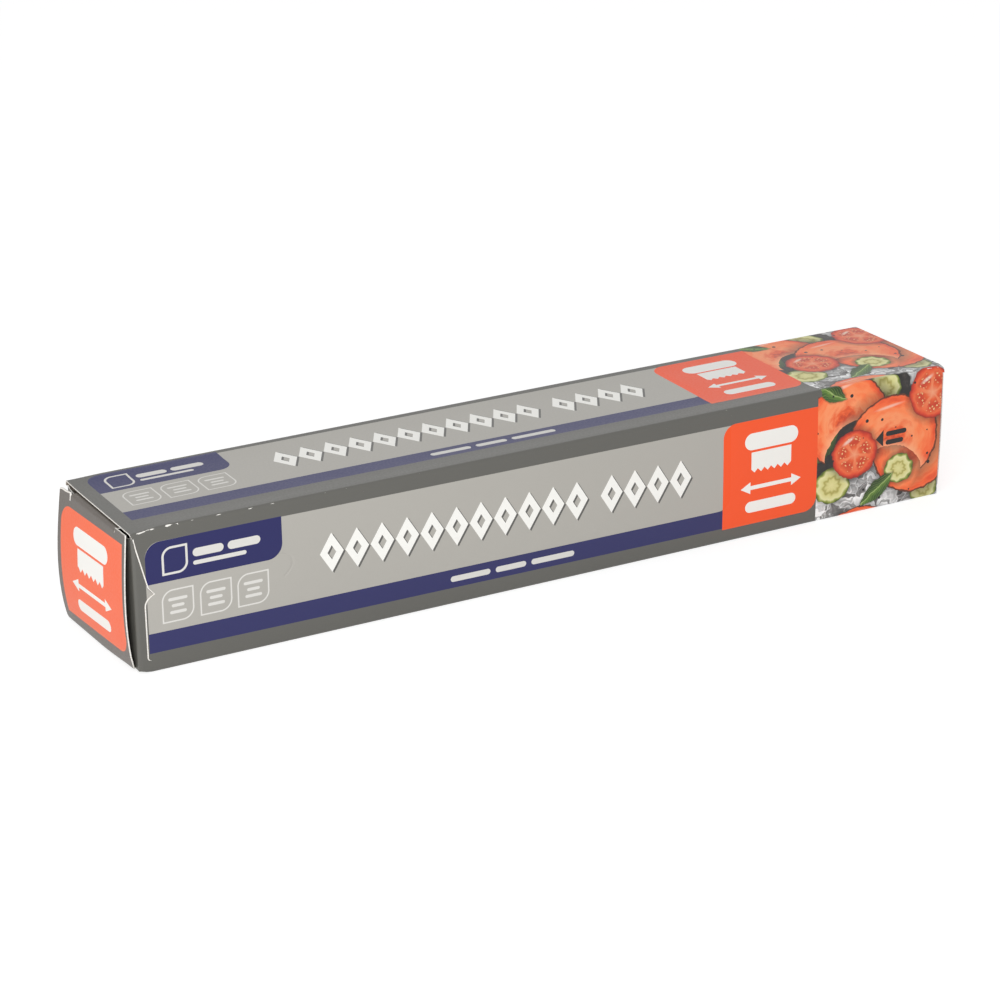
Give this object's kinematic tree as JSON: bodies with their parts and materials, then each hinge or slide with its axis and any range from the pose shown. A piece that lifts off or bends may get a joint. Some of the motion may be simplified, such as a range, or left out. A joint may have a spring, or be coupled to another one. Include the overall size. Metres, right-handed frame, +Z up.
{
  "type": "boxed aluminium foil roll",
  "caption": "Sealed printed cardboard carton, long and slim, that holds a roll of kitchen foil; tuck-in end flaps and a tear-open front panel.",
  "frame": {"origin": "on the ground under the middle of the whole outline", "axes": "+X along the carton, the end with the torn, swollen flap on -X; the front panel with the tear line faces -Y; +Z up, the top panel uppermost"},
  "size_m": [0.3124, 0.054, 0.0475],
  "materials": {
    "printed_board": "folding boxboard with satin varnished print: warm grey, silver, navy and orange"
  },
  "bodies": {
    "root": {"carton": "printed_board"}
  },
  "joints": []
}
